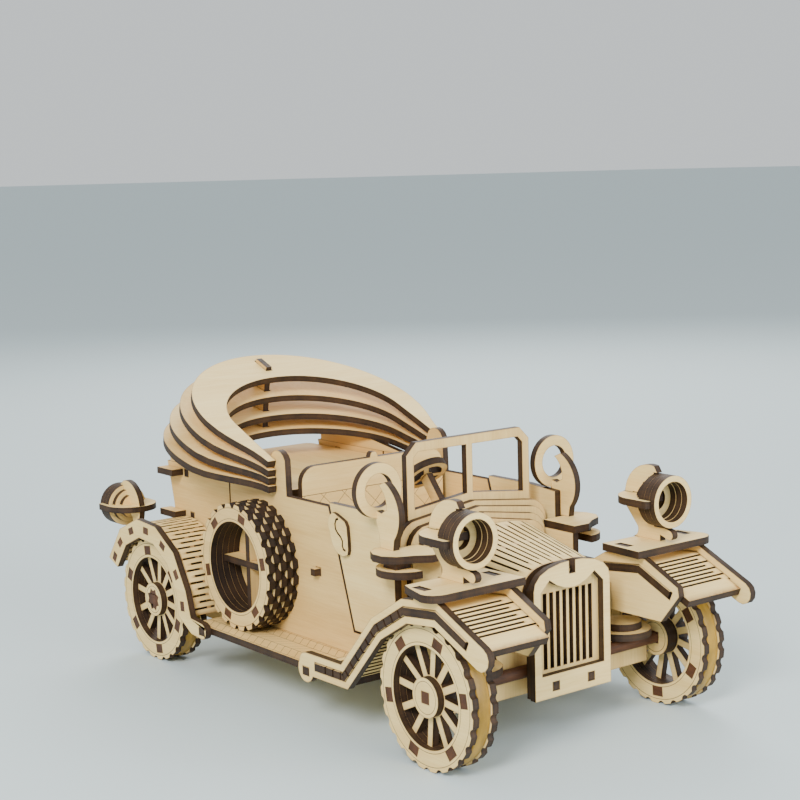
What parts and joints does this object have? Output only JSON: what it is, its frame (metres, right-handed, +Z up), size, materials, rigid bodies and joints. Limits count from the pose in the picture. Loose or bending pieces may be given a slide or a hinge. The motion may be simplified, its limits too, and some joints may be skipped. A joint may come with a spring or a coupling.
{
  "type": "wooden vintage car model kit",
  "caption": "Open-top vintage car built from interlocking plywood sheets, with rolling wheels, a turning steering wheel, a folded top and a spare wheel.",
  "frame": {"origin": "on the ground, at the middle of the car's length and width", "axes": "+X towards the front of the car, +Y to the car's left, +Z up"},
  "size_m": [0.2932, 0.148, 0.1348],
  "materials": {
    "plywood": "matte",
    "pale_plywood": "matte",
    "rubber": "satin"
  },
  "bodies": {
    "chassis": {"floor_plate": "plywood", "chassis_rail_right": "plywood", "chassis_rail_left": "plywood", "front_axle_beam": "plywood", "radiator_shell": "plywood", "radiator_grille": "plywood", "bonnet_cover": "plywood", "firewall": "plywood", "cowl_arch_rear": "plywood", "cowl_arch_front": "plywood", "windscreen_frame": "plywood", "steering_column": "plywood", "body_side_right": "plywood", "body_side_left": "plywood", "door_right": "pale_plywood", "door_left": "pale_plywood", "rear_panel": "plywood", "rear_deck": "plywood", "seat_back": "pale_plywood", "seat_cushion": "plywood", "top_rib_1": "pale_plywood", "top_rib_2": "plywood", "top_rib_3": "plywood", "top_rib_4": "plywood", "top_spine": "plywood", "front_fender_outer_right": "plywood", "front_fender_outer_left": "plywood", "front_fender_inner_right": "pale_plywood", "front_fender_inner_left": "pale_plywood", "front_fender_sheet_right": "plywood", "front_fender_sheet_left": "plywood", "rear_fender_outer_right": "plywood", "rear_fender_outer_left": "plywood", "rear_fender_sheet_right": "plywood", "rear_fender_sheet_left": "plywood", "lamp_base_right": "plywood", "lamp_base_left": "plywood", "headlamp_rings_right": "plywood", "headlamp_rings_left": "plywood", "headlamp_yoke_right": "pale_plywood", "headlamp_yoke_left": "pale_plywood", "rear_lamp_right": "plywood", "rear_lamp_left": "plywood", "scroll_bracket_right": "pale_plywood", "scroll_bracket_left": "pale_plywood", "scroll_base_right": "plywood", "scroll_base_left": "plywood", "spare_wheel": "plywood", "spare_bracket": "plywood"},
    "front_wheelset": {"front_axle": "plywood", "wheel_front_right": "plywood", "wheel_front_left": "plywood", "rubber_band_front_right": "rubber", "rubber_band_front_left": "rubber"},
    "rear_wheelset": {"rear_axle": "plywood", "wheel_rear_right": "plywood", "wheel_rear_left": "plywood", "rubber_band_rear_right": "rubber", "rubber_band_rear_left": "rubber"},
    "steering": {"steering_wheel": "plywood"}
  },
  "joints": [
    {"name": "front_axle_spin", "type": "hinge", "parent": "chassis", "child": "front_wheelset", "pos_m": [0.105, 0, 0.028], "axis": [0, 1, 0], "continuous": true},
    {"name": "rear_axle_spin", "type": "hinge", "parent": "chassis", "child": "rear_wheelset", "pos_m": [-0.1, 0, 0.028], "axis": [0, 1, 0], "continuous": true},
    {"name": "steering_wheel_turn", "type": "hinge", "parent": "chassis", "child": "steering", "pos_m": [0.039, -0.0125, 0.0975], "axis": [0.6402, 0, -0.7682], "continuous": true}
  ]
}
